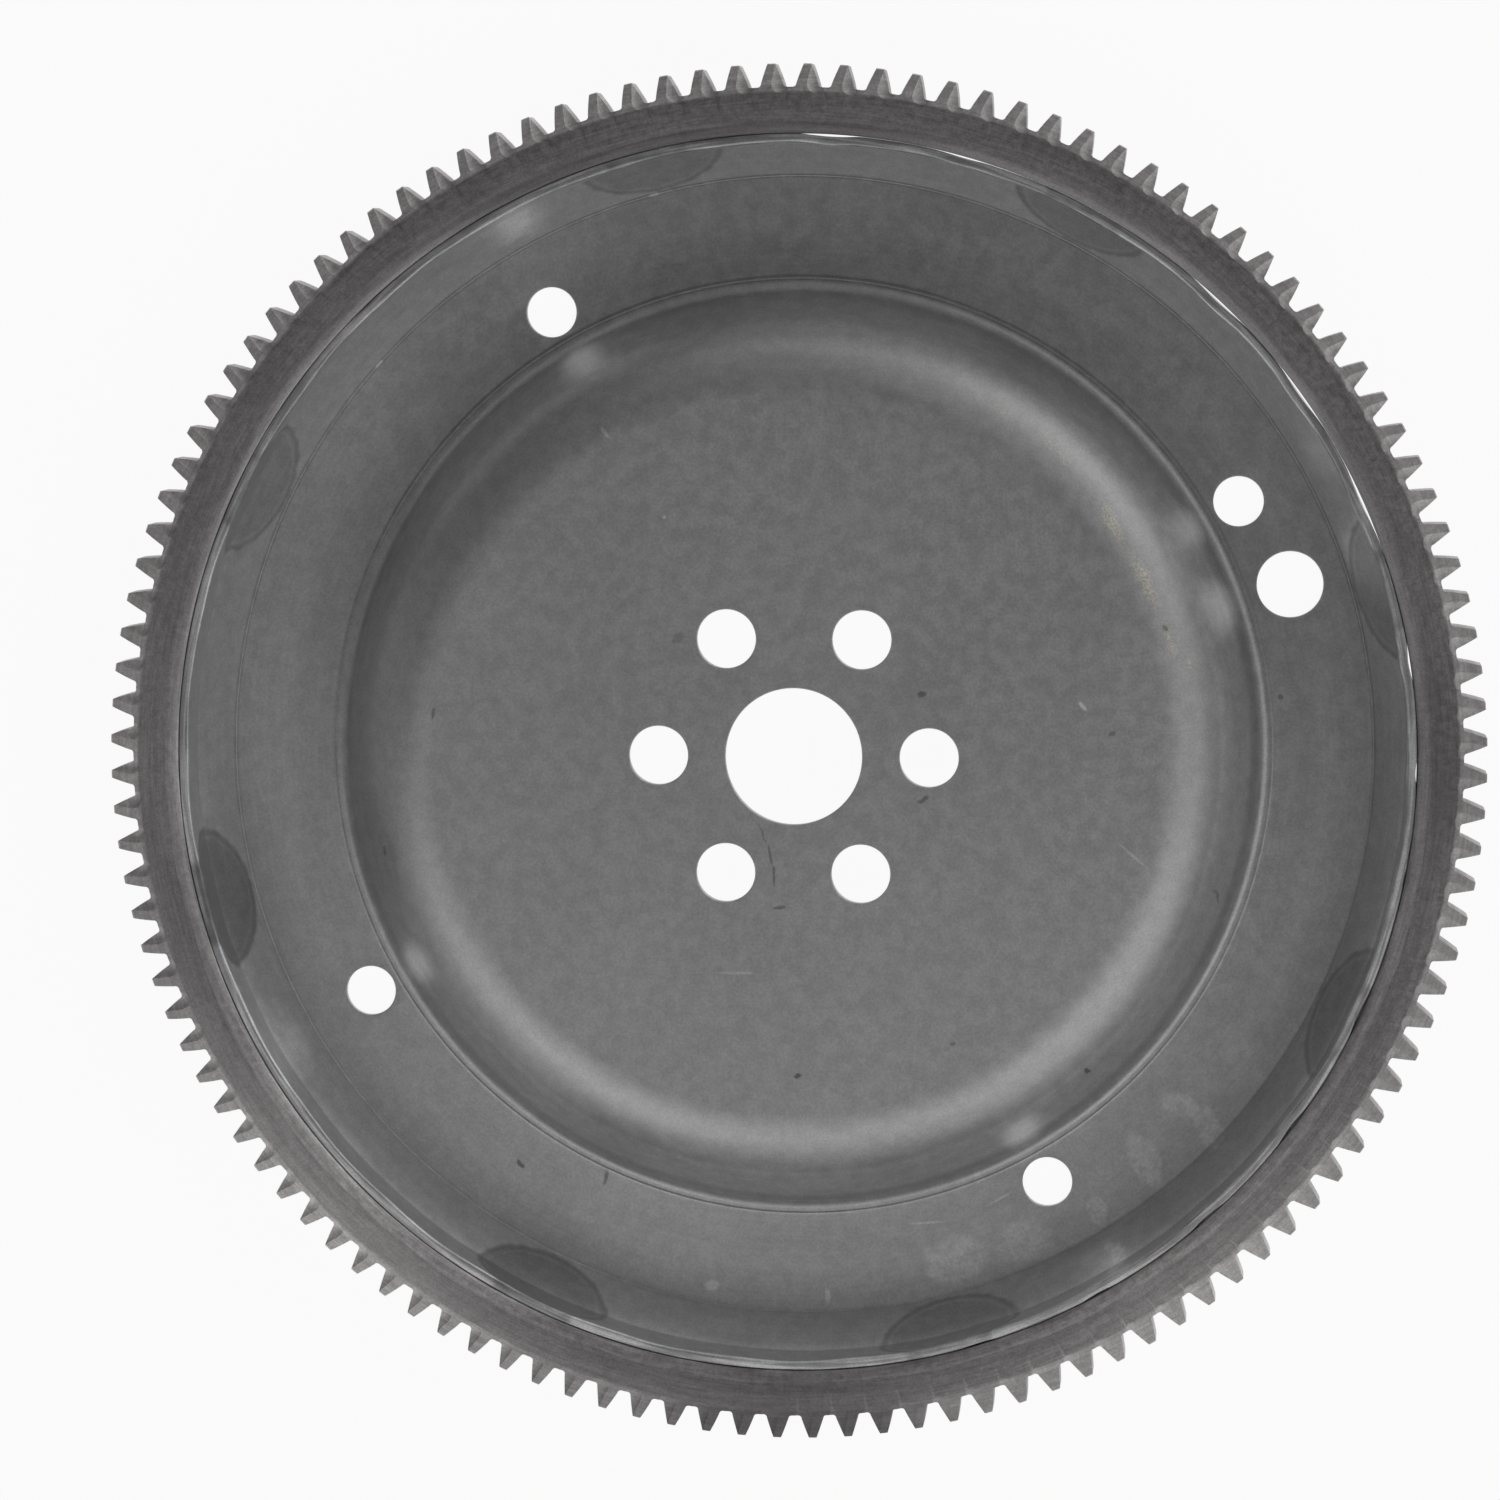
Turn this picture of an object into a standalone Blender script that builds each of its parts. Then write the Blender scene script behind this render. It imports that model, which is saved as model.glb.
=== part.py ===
"""Flexplate: a drawn steel disc held in a starter ring gear by eight short weld beads.

The plate lies on the back of the flat annulus that the torque converter bolts to.
+Z is the axis, from that face towards the raised hub. The origin is the middle of
the face it lies on. Lengths are in metres, angles in degrees.
"""
import math

import bmesh
import bpy

MM = 0.001

# Sheet and joints
SHEET = 2.0 * MM
SEAT_GAP = 0.3 * MM

# Ring gear
TEETH = 120
MODULE = 2.5 * MM
PRESSURE_ANGLE = 20.0
DEDENDUM = 2.6 * MM
TOOTH_THINNING = 0.35 * MM
ROOT_FILLET = 0.8 * MM
TOOTH_PHASE = 1.92
RIM_THICKNESS = 10.0 * MM
RING_WIDTH = 10.0 * MM
RING_ABOVE_LIP = 1.2 * MM
FACE_INSET = 1.0 * MM
FACE_CHAMFER_ANGLE = 6.0
BORE_CHAMFER_WIDTH = 2.5 * MM
BORE_CHAMFER_DEPTH = 0.4 * MM

# The lead-in hollow on one flank of each tooth, as a ball-nosed cutter leaves it
CUTTER_RADIUS = 3.0 * MM
LEAD_IN_DEPTH = 0.8 * MM
RIDGE_FOOT = 0.15

# Drawn disc: its front (upper) surface from the collar inwards
LIP_RISE = 22.7 * MM
LIP_BREAK = 0.35 * MM
COLLAR_BEND = 1.5 * MM
BAND_WIDTH = 6.7 * MM
BAND_ANGLE = 58.0
BAND_FOOT_BEND = 0.5 * MM
ANNULUS_WIDTH = 24.75 * MM
WALL_FOOT_BEND = 3.3 * MM
WALL_ANGLE = 57.6
HUB_RISE = 19.8 * MM
SHOULDER_BEND = 16.5 * MM
HUB_BORE_RADIUS = 15.2 * MM

# Shallow flutes that run up the collar and end at the lip
FLUTES = 30
FLUTE_DEPTH = 0.55 * MM
FLUTE_VARIATION = 0.45
DEEPEST_FLUTE = 350.0

# Holes. The land is the distance from the wall's foot to the hole's centre
CRANK_HOLES = 6
CRANK_HOLE_RADIUS = 6.55 * MM
CRANK_CIRCLE_RADIUS = 30.05 * MM
CONVERTER_HOLES = 4
CONVERTER_HOLE_RADIUS = 5.6 * MM
CONVERTER_LAND = 9.1 * MM
CONVERTER_START = 29.95
LARGE_HOLE_RADIUS = 7.4 * MM
LARGE_HOLE_LAND = 12.05 * MM
LARGE_HOLE_ANGLE = 19.1
CUTTER_OVERRUN = 2.0 * MM

# Weld beads, in pairs either side of each converter hole
WELD_LEG = 2.6 * MM
WELD_LENGTH = 21.0 * MM
WELD_BEFORE_HOLE = -14.6
WELD_AFTER_HOLE = 34.8
BEAD_SECTION = ((0.0, 0.0), (1.0, 0.0), (0.86, -0.4), (0.4, -0.86), (0.0, -1.0))
BEAD_STATIONS = ((-1.0, 0.4), (-0.92, 0.8), (-0.6, 1.0), (0.0, 1.0), (0.6, 1.0), (0.92, 0.8), (1.0, 0.4))

# Facets of each round shape
DISC_STEPS = 120
SHOULDER_STEPS = 3
WALL_FOOT_STEPS = 2
SHARP_BEND_STEPS = 1
HOLE_STEPS = 24

# Colour and roughness of each steel, and the edges that are shaded smooth
DISC_STEEL = ((0.45, 0.45, 0.455), 0.35)
RING_STEEL = ((0.3, 0.29, 0.285), 0.5)
WELD_STEEL = ((0.3, 0.29, 0.28), 0.45)
METALLIC = 0.9
SMOOTH_BENDS = 30.0
SMOOTH_FLANKS = 20.0
SMOOTH_BEAD = 40.0

# Heights and radii that follow from the sizes above
ANNULUS_FRONT = SHEET
HUB_FRONT = ANNULUS_FRONT + HUB_RISE
LIP_TOP = ANNULUS_FRONT + LIP_RISE
RING_FRONT = LIP_TOP + RING_ABOVE_LIP
RING_BACK = RING_FRONT - RING_WIDTH
PITCH_RADIUS = MODULE * TEETH / 2
TIP_RADIUS = PITCH_RADIUS + MODULE
ROOT_RADIUS = PITCH_RADIUS - DEDENDUM
BASE_RADIUS = PITCH_RADIUS * math.cos(math.radians(PRESSURE_ANGLE))
FACE_EDGE_RADIUS = ROOT_RADIUS - FACE_INSET
RING_BORE_RADIUS = ROOT_RADIUS - RIM_THICKNESS
COLLAR_OUTER_RADIUS = RING_BORE_RADIUS - SEAT_GAP
BAND_FOOT_RADIUS = COLLAR_OUTER_RADIUS - SHEET - BAND_WIDTH
WALL_FOOT_RADIUS = BAND_FOOT_RADIUS - ANNULUS_WIDTH


def clear_scene():
    for item in list(bpy.data.objects):
        bpy.data.objects.remove(item, do_unlink=True)


def steel(name, look):
    colour, roughness = look
    material = bpy.data.materials.new(name)
    material.use_nodes = True
    shader = material.node_tree.nodes["Principled BSDF"]
    shader.inputs["Base Color"].default_value = (*colour, 1.0)
    shader.inputs["Roughness"].default_value = roughness
    shader.inputs["Metallic"].default_value = METALLIC
    return material


def add_object(name, mesh, parent, material):
    item = bpy.data.objects.new(name, mesh)
    item.parent = parent
    bpy.context.collection.objects.link(item)
    if material and not mesh.materials:
        mesh.materials.append(material)
    return item


def finish_mesh(name, shape, smooth_below):
    bmesh.ops.recalc_face_normals(shape, faces=shape.faces)
    mesh = bpy.data.meshes.new(name)
    shape.to_mesh(mesh)
    shape.free()
    mesh.shade_smooth()
    mesh.set_sharp_from_angle(angle=math.radians(smooth_below))
    return mesh


def polar(radius, degrees, height):
    angle = math.radians(degrees)
    return (radius * math.cos(angle), radius * math.sin(angle), height)


# The disc's section: straight runs of sheet joined by bends

def middle_corners():
    """Corners of the sheet's middle line from the bore to the lip, each with its bend radius."""
    half = SHEET / 2
    wall = math.radians(WALL_ANGLE)
    band = math.radians(BAND_ANGLE)
    wall_foot = WALL_FOOT_RADIUS - half * math.tan(wall / 2)
    wall_top = wall_foot - HUB_RISE / math.tan(wall)
    band_foot = BAND_FOOT_RADIUS + half * math.tan(band / 2)
    collar = COLLAR_OUTER_RADIUS - half
    band_top = half + (collar - band_foot) * math.tan(band)
    return [
        (HUB_BORE_RADIUS, half + HUB_RISE, 0.0, 0),
        (wall_top, half + HUB_RISE, SHOULDER_BEND - half, SHOULDER_STEPS),
        (wall_foot, half, WALL_FOOT_BEND + half, WALL_FOOT_STEPS),
        (band_foot, half, BAND_FOOT_BEND + half, SHARP_BEND_STEPS),
        (collar, band_top, COLLAR_BEND + half, SHARP_BEND_STEPS),
        (collar, LIP_TOP, 0.0, 0),
    ]


def middle_line():
    """Points of the middle line, each with the direction square to the sheet, towards the front."""
    corners = middle_corners()
    points = []
    for index, (radius, height, bend, steps) in enumerate(corners):
        before = corners[max(index - 1, 0)]
        after = corners[min(index + 1, len(corners) - 1)]
        heading_in = math.atan2(height - before[1], radius - before[0])
        heading_out = math.atan2(after[1] - height, after[0] - radius)
        if index == 0:
            heading_in = heading_out
        if index == len(corners) - 1:
            heading_out = heading_in
        turn = heading_out - heading_in
        if bend == 0.0:
            points.append((radius, height, -math.sin(heading_in), math.cos(heading_in)))
            continue
        reach = bend * math.tan(abs(turn) / 2)
        side = math.copysign(1.0, turn)
        start_radius = radius - reach * math.cos(heading_in)
        start_height = height - reach * math.sin(heading_in)
        centre_radius = start_radius - side * bend * math.sin(heading_in)
        centre_height = start_height + side * bend * math.cos(heading_in)
        for step in range(steps + 1):
            heading = heading_in + turn * step / steps
            normal = (-math.sin(heading), math.cos(heading))
            points.append((
                centre_radius - side * bend * normal[0],
                centre_height - side * bend * normal[1],
                *normal,
            ))
    return points


def disc_section():
    """The closed outline of the sheet: along the front, over the lip and back along the rear."""
    half = SHEET / 2
    line = middle_line()
    front = [(r + half * nr, z + half * nz) for r, z, nr, nz in line]
    rear = [(r - half * nr, z - half * nz) for r, z, nr, nz in line]
    inner_radius, top = front.pop()
    outer_radius, top = rear.pop()
    lip = [
        (inner_radius, top - LIP_BREAK),
        (inner_radius + LIP_BREAK, top),
        (outer_radius - LIP_BREAK, top),
        (outer_radius, top - LIP_BREAK),
    ]
    return front + lip + rear[::-1]


def flute_depth(degrees):
    """How far the lip stands back from its round outline."""
    swing = math.cos(math.radians(degrees - DEEPEST_FLUTE))
    depth = FLUTE_DEPTH * (1 - FLUTE_VARIATION * (1 - swing) / 2)
    return depth * (1 + math.cos(math.radians(FLUTES * degrees))) / 2


def flute_collar(shape):
    collar_foot = middle_line()[-2][1]
    for vertex in shape.verts:
        radius = math.hypot(vertex.co.x, vertex.co.y)
        share = (vertex.co.z - collar_foot) / (LIP_TOP - collar_foot)
        if share <= 0.0 or radius < BAND_FOOT_RADIUS:
            continue
        angle = math.degrees(math.atan2(vertex.co.y, vertex.co.x))
        factor = (radius - share * flute_depth(angle)) / radius
        vertex.co.x *= factor
        vertex.co.y *= factor


def disc_mesh():
    shape = bmesh.new()
    outline = [shape.verts.new((r, 0.0, z)) for r, z in disc_section()]
    edges = [shape.edges.new((a, b)) for a, b in zip(outline, outline[1:] + outline[:1])]
    bmesh.ops.spin(shape, geom=outline + edges, cent=(0, 0, 0), axis=(0, 0, 1),
                   angle=math.tau, steps=DISC_STEPS, use_merge=True)
    flute_collar(shape)
    return finish_mesh("drive_disc", shape, SMOOTH_BENDS)


def hole_places():
    """Radius of the hole, radius of its circle, angle and height of the sheet for every hole."""
    places = []
    for index in range(CRANK_HOLES):
        places.append((CRANK_HOLE_RADIUS, CRANK_CIRCLE_RADIUS, index * 360 / CRANK_HOLES, HUB_FRONT))
    for index in range(CONVERTER_HOLES):
        angle = CONVERTER_START + index * 360 / CONVERTER_HOLES
        places.append((CONVERTER_HOLE_RADIUS, WALL_FOOT_RADIUS + CONVERTER_LAND, angle, ANNULUS_FRONT))
    places.append((LARGE_HOLE_RADIUS, WALL_FOOT_RADIUS + LARGE_HOLE_LAND, LARGE_HOLE_ANGLE, ANNULUS_FRONT))
    return places


def hole_cutters(parent):
    shape = bmesh.new()
    for hole_radius, circle_radius, angle, front in hole_places():
        made = bmesh.ops.create_cone(shape, cap_ends=True, segments=HOLE_STEPS,
                                     radius1=hole_radius, radius2=hole_radius,
                                     depth=SHEET + 2 * CUTTER_OVERRUN)
        bmesh.ops.translate(shape, verts=made["verts"],
                            vec=polar(circle_radius, angle, front - SHEET / 2))
    cutters = add_object("hole_cutters", finish_mesh("hole_cutters", shape, SMOOTH_BENDS), parent, None)
    cutters.hide_render = True
    cutters.display_type = "WIRE"
    return cutters


def make_disc(parent):
    disc = add_object("drive_disc", disc_mesh(), parent, steel("disc_steel", DISC_STEEL))
    cut = disc.modifiers.new("holes", "BOOLEAN")
    cut.operation = "DIFFERENCE"
    cut.solver = "EXACT"
    cut.object = hole_cutters(parent)
    return disc


# The ring gear: one tooth is worked out and laid round the ring

def involute(angle):
    return math.tan(angle) - angle


def half_tooth(radius):
    """Half the angle that a tooth takes up at this radius, in degrees."""
    at_pitch = (math.pi * MODULE / 2 - TOOTH_THINNING) / (2 * PITCH_RADIUS)
    slope = math.acos(BASE_RADIUS / radius)
    return math.degrees(at_pitch + involute(math.radians(PRESSURE_ANGLE)) - involute(slope))


def tooth_side():
    """Angle and radius of the points up one side of a tooth, from the root to the tip."""
    flank_foot = ROOT_RADIUS + ROOT_FILLET
    foot = half_tooth(flank_foot)
    fillet = math.degrees(ROOT_FILLET / ROOT_RADIUS)
    share = 1 - math.sqrt(0.5)
    middle = (flank_foot + TIP_RADIUS) / 2
    return [
        (foot + fillet, ROOT_RADIUS),
        (foot + share * fillet, ROOT_RADIUS + share * ROOT_FILLET),
        (foot, flank_foot),
        (half_tooth(middle), middle),
        (half_tooth(TIP_RADIUS), TIP_RADIUS),
    ]


def front_height(radius):
    """Height of the ring's front, which slopes back from the edge of its flat face to the tips."""
    slope = math.tan(math.radians(FACE_CHAMFER_ANGLE))
    return RING_FRONT - max(radius - FACE_EDGE_RADIUS, 0.0) * slope


def lead_in_drop(angle, radius):
    """Depth of the lead-in hollow at a point of the flank that meets the pinion first."""
    share = (radius - FACE_EDGE_RADIUS) / (TIP_RADIUS - FACE_EDGE_RADIUS)
    ridge = RIDGE_FOOT + share * (-half_tooth(TIP_RADIUS) - RIDGE_FOOT)
    across = math.radians(ridge - angle) * radius
    centre_above = CUTTER_RADIUS - LEAD_IN_DEPTH
    half_chord = math.sqrt(CUTTER_RADIUS ** 2 - centre_above ** 2)
    if across <= 0.0:
        return 0.0
    off_centre = min(across, half_chord) - half_chord
    rise = min((radius - ROOT_RADIUS) / ROOT_FILLET, 1.0)
    return rise * (math.sqrt(CUTTER_RADIUS ** 2 - off_centre ** 2) - centre_above)


def tooth_outline():
    side = tooth_side()
    return [(-angle, radius) for angle, radius in side] + side[::-1]


def add_tooth(shape, centre):
    """Vertices of one pitch of the ring: outline front and rear, and two spokes of the ring's face."""
    outline = tooth_outline()
    front = []
    for angle, radius in outline:
        drop = lead_in_drop(angle, radius) if angle < 0 else 0.0
        front.append(shape.verts.new(polar(radius, centre + angle, front_height(radius) - drop)))
    rear = [shape.verts.new(polar(radius, centre + angle, RING_BACK)) for angle, radius in outline]
    spokes = []
    for angle in (-180.0 / TEETH, RIDGE_FOOT):
        spoke = [
            (FACE_EDGE_RADIUS, RING_FRONT),
            (RING_BORE_RADIUS + BORE_CHAMFER_WIDTH, RING_FRONT),
            (RING_BORE_RADIUS, RING_FRONT - BORE_CHAMFER_DEPTH),
            (RING_BORE_RADIUS, RING_BACK),
        ]
        spokes.append([shape.verts.new(polar(radius, centre + angle, z)) for radius, z in spoke])
    return front, rear, spokes


def skin_tooth(shape, tooth, following):
    """Faces of one pitch, closed against the tooth that follows it."""
    front, rear, (edge, ridge) = tooth
    next_front, next_rear, (next_edge, _) = following
    foot = ridge[0]
    for a, b in zip(front, front[1:]):
        shape.faces.new((foot, b, a))
    shape.faces.new((foot, front[0], edge[0]))
    shape.faces.new((foot, next_edge[0], front[-1]))
    shape.faces.new((next_edge[0], next_front[0], front[-1]))
    for a, b, c, d in zip(front, front[1:], rear[1:], rear):
        shape.faces.new((a, b, c, d))
    shape.faces.new((front[-1], next_front[0], next_rear[0], rear[-1]))
    for left, right in ((edge, ridge), (ridge, next_edge)):
        for a, b, c, d in zip(left, left[1:], right[1:], right):
            shape.faces.new((a, b, c, d))
    shape.faces.new((edge[-1], ridge[-1], next_edge[-1], *rear[::-1]))
    shape.faces.new((next_edge[-1], next_rear[0], rear[-1]))


def ring_mesh():
    shape = bmesh.new()
    teeth = [add_tooth(shape, TOOTH_PHASE + index * 360 / TEETH) for index in range(TEETH)]
    for tooth, following in zip(teeth, teeth[1:] + teeth[:1]):
        skin_tooth(shape, tooth, following)
    return finish_mesh("ring_gear", shape, SMOOTH_FLANKS)


def make_ring_gear(parent):
    return add_object("ring_gear", ring_mesh(), parent, steel("gear_steel", RING_STEEL))


# The weld beads, in the corner between the ring's rear face and the collar

def bead_mesh():
    """One bead, centred on +X: a fillet section swept along the corner and tapered at its ends."""
    corner_radius = COLLAR_OUTER_RADIUS + SEAT_GAP
    corner_height = RING_BACK - SEAT_GAP
    half_angle = math.degrees(WELD_LENGTH / (2 * corner_radius))
    shape = bmesh.new()
    rows = []
    for place, scale in BEAD_STATIONS:
        leg = WELD_LEG * scale
        rows.append([
            shape.verts.new(polar(corner_radius + leg * out, place * half_angle, corner_height + leg * up))
            for out, up in BEAD_SECTION
        ])
    for row, following in zip(rows, rows[1:]):
        for a, b, c, d in zip(row, row[1:] + row[:1], following[1:] + following[:1], following):
            shape.faces.new((a, b, c, d))
    shape.faces.new(rows[0])
    shape.faces.new(rows[-1][::-1])
    return finish_mesh("weld_bead", shape, SMOOTH_BEAD)


def make_weld_beads(parent):
    mesh = bead_mesh()
    filler = steel("weld_metal", WELD_STEEL)
    for index in range(CONVERTER_HOLES):
        hole_angle = CONVERTER_START + index * 360 / CONVERTER_HOLES
        for number, offset in enumerate((WELD_BEFORE_HOLE, WELD_AFTER_HOLE), start=1):
            bead = add_object(f"weld_bead_{2 * index + number}", mesh, parent, filler)
            bead.rotation_euler.z = math.radians(hole_angle + offset)


def build():
    clear_scene()
    axis = bpy.data.objects.new("flexplate", None)
    bpy.context.collection.objects.link(axis)
    make_disc(axis)
    make_ring_gear(axis)
    make_weld_beads(axis)


build()
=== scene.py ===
"""Looks of a flexplate: a drawn steel disc held in a starter ring gear by eight weld beads at the back.

Lengths are in metres and angles in degrees. +Z is the axis, and the plate lies on z = 0.
Angles round the plate count from +X towards +Y.
"""
import math

import bmesh
import bpy
from mathutils import Matrix, Vector


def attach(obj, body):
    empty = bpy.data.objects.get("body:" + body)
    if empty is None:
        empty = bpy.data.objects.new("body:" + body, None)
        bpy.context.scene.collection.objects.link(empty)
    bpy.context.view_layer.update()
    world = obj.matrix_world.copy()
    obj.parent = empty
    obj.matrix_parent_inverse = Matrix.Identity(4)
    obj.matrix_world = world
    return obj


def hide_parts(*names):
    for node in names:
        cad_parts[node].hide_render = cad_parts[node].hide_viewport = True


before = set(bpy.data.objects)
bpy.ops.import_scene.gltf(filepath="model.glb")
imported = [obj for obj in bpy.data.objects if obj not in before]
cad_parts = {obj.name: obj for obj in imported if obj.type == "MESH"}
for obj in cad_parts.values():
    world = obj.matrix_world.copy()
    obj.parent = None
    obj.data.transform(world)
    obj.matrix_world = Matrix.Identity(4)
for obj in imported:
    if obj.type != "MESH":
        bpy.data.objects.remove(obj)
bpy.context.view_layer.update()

MM = 0.001

# The drawn disc, radii and heights of its front
SHEET = 2.0 * MM
ANNULUS_FRONT = SHEET
HUB_FRONT = ANNULUS_FRONT + 19.8 * MM
BLANK_RADIUS = 8.0 * MM
HUB_FLAT_RADIUS = 80.7 * MM
WALL_ANGLE = 57.6
SHOULDER_BEND = 18.86 * MM
WALL_FOOT_BEND = 3.1 * MM
CREST_RADIUS = 105.42 * MM
CREST_WIDTH = 0.7 * MM
CREST_HEIGHT = 0.08 * MM
CREST_STEPS = 6
BAND_FOOT_RADIUS = 128.4 * MM
BAND_ANGLE = 58.0
BAND_FOOT_BEND = 0.35 * MM
COLLAR_BEND = 1.5 * MM
COLLAR_RADIUS = 135.34 * MM
LIP_TOP = ANNULUS_FRONT + 22.7 * MM
LIP_ROUND = 0.65 * MM
LIP_BREAK = 0.2 * MM
ROUND_STEPS = 720
RUN_STEP = 1.1 * MM
HOLDING_STEP = 0.06 * MM
SMOOTH_DISC_BELOW = 30.0

# Holes: radius of the hole, radius of its circle, first angle, number of holes
HUB_BORE = (15.2 * MM, 0.0, 0.0, 1)
CRANK_HOLES = (6.55 * MM, 30.05 * MM, 0.0, 6)
CONVERTER_HOLES = (5.6 * MM, 112.75 * MM, 29.95, 4)
LARGE_HOLE = (7.4 * MM, 115.7 * MM, 19.1, 1)
HOLE_STEPS = 96
HOLE_BREAK = 0.2 * MM

# Flutes that run up the collar to the lip. Where the lip stands open, a gap shows past it:
# its angle, half width in degrees and depth
WAVES = 30
WAVE_DEPTH = 0.35 * MM
WAVE_VARIATION = 0.3
DEEPEST_WAVE = 350.0
REAR_SHARE = 0.2
WAVE_RUN_IN = 3 * RUN_STEP
OPEN_WAVES = ((9.3, 2.4, 0.5 * MM), (24.6, 4.4, 0.62 * MM), (36.0, 4.2, 0.62 * MM),
              (47.4, 4.2, 0.6 * MM), (74.4, 3.0, 0.35 * MM), (86.7, 3.6, 0.6 * MM),
              (288.0, 2.6, 0.3 * MM), (300.0, 2.6, 0.4 * MM), (312.4, 2.8, 0.55 * MM),
              (324.0, 2.8, 0.6 * MM), (336.2, 3.0, 0.6 * MM), (350.3, 3.0, 0.4 * MM),
              (359.2, 2.0, 0.45 * MM))

# Heat marks of the weld beads on the band and the collar: angle and half width in degrees
HEAT_MARKS = ((16.3, 7.0), (62.4, 6.9), (103.9, 6.9), (154.3, 6.8),
              (194.6, 6.9), (244.8, 6.9), (285.1, 7.0), (335.0, 6.9))
HEAT_MARK_HEIGHT = 14.8 * MM
HEAT_MARK_RISE = 12.0 * MM
HEAT_MARK_INNER_RADIUS = BAND_FOOT_RADIUS - 4.0 * MM
FAR_FROM_HEAT = 3.0

# The ring gear
TEETH = 120
MODULE = 2.5 * MM
PRESSURE_ANGLE = 20.0
DEDENDUM = 2.6 * MM
TOOTH_THINNING = 0.35 * MM
ROOT_FILLET = 0.8 * MM
TOOTH_PHASE = 1.92
RING_BORE_RADIUS = 137.4 * MM
RING_FRONT = LIP_TOP + 1.2 * MM
RING_BACK = RING_FRONT - 10.0 * MM
PITCH_RADIUS = MODULE * TEETH / 2
TIP_RADIUS = PITCH_RADIUS + MODULE
ROOT_RADIUS = PITCH_RADIUS - DEDENDUM
BASE_RADIUS = PITCH_RADIUS * math.cos(math.radians(PRESSURE_ANGLE))
FACE_EDGE_RADIUS = ROOT_RADIUS - 1.0 * MM
FACE_SLOPE = 3.0
TIP_BREAK = 0.25 * MM
BORE_DISH_WIDTH = 2.5 * MM
BORE_DISH_DEPTH = 0.4 * MM
BORE_EDGE_WIDTH = 0.5 * MM
BORE_EDGE_DEPTH = 0.35 * MM

# The lead-in groove on one side of each tooth's front, cut by a ball-nosed cutter
CUTTER_RADIUS = 4.5 * MM
CUTTER_DEPTH = 0.6 * MM
CUTTER_LEAN = 13.5
CUTTER_LENGTH = 12.0 * MM
CUTTER_RUN_OUT = 0.4 * MM
RIDGE_FOOT = 0.12
CUTTER_STEPS = 32
GAP_CUTTER_OVER = 2.0 * MM
SMOOTH_RING_BELOW = 25.0

# The weld beads, in the corner between the ring's back and the collar
BEAD_ANGLES = (-14.6, 34.8)
BEAD_LEG = 2.5 * MM
BEAD_LENGTH = 20.5 * MM
BEAD_RIPPLES = 17
BEAD_SIDES = 12
BEAD_CENTRE = (RING_BORE_RADIUS + 0.45 * BEAD_LEG, RING_BACK - 0.45 * BEAD_LEG)
BEAD_END_SHARE = 0.08
BEAD_END_SIZE = 0.35
RIPPLE_DEPTH = 0.07
RIPPLE_BOW = 0.9
SMOOTH_BEAD_BELOW = 50.0
BEAD_STATIONS = 136

# The camera, from the photograph: the lens on a 36 mm sensor, its place and its turn
LENS = 135.07
SENSOR = 36.0
CAMERA_PLACE = (0.09470, 0.11571, 1.26007)
CAMERA_TURN = (-5.2441, 4.8327, 0.1528)


# Small modelling helpers

def deselect_all():
    bpy.ops.object.select_all(action="DESELECT")


def start_editing(piece):
    deselect_all()
    piece.select_set(True)
    bpy.context.view_layer.objects.active = piece
    bpy.ops.object.mode_set(mode="EDIT")


def stop_editing():
    bpy.ops.object.mode_set(mode="OBJECT")


def select_where(kind, wanted):
    """In edit mode, selects the faces or edges that wanted(element) is true for."""
    bpy.ops.mesh.select_mode(type=kind)
    bpy.ops.mesh.select_all(action="DESELECT")
    shape = bmesh.from_edit_mesh(bpy.context.object.data)
    elements = shape.faces if kind == "FACE" else shape.edges
    for element in elements:
        if wanted(element):
            element.select_set(True)
    bmesh.update_edit_mesh(bpy.context.object.data)


def apply_modifier(piece, modifier):
    bpy.context.view_layer.objects.active = piece
    bpy.ops.object.modifier_apply(modifier=modifier.name)


def cut(piece, cutter):
    carve = piece.modifiers.new("cut", "BOOLEAN")
    carve.operation = "DIFFERENCE"
    carve.solver = "EXACT"
    carve.object = cutter
    apply_modifier(piece, carve)
    bpy.data.objects.remove(cutter, do_unlink=True)


def finish_piece(piece, name, node, material, smooth_below):
    deselect_all()
    piece.select_set(True)
    bpy.context.view_layer.objects.active = piece
    bpy.ops.object.transform_apply(location=True, rotation=True, scale=True)
    bpy.ops.object.shade_smooth_by_angle(angle=math.radians(smooth_below))
    piece.name = name
    piece.data.name = name
    piece.data.materials.clear()
    piece.data.materials.append(material)
    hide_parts(node)
    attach(piece, "root")


def pull_rings(line):
    """A turned surface: a circle at the line's first point, extruded along the rest of it."""
    radius, height = line[0]
    deselect_all()
    bpy.ops.mesh.primitive_circle_add(vertices=ROUND_STEPS, radius=radius, location=(0, 0, height))
    piece = bpy.context.object
    bpy.ops.object.transform_apply(location=True)
    bpy.ops.object.mode_set(mode="EDIT")
    bpy.ops.mesh.select_mode(type="EDGE")
    bpy.ops.mesh.select_all(action="SELECT")
    for (radius, height), (next_radius, next_height) in zip(line, line[1:]):
        growth = next_radius / radius
        bpy.ops.mesh.extrude_region_move(
            TRANSFORM_OT_translate={"value": (0, 0, next_height - height)})
        bpy.ops.transform.resize(value=(growth, growth, 1), center_override=(0, 0, 0))
    return piece


# The drawn disc

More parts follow.
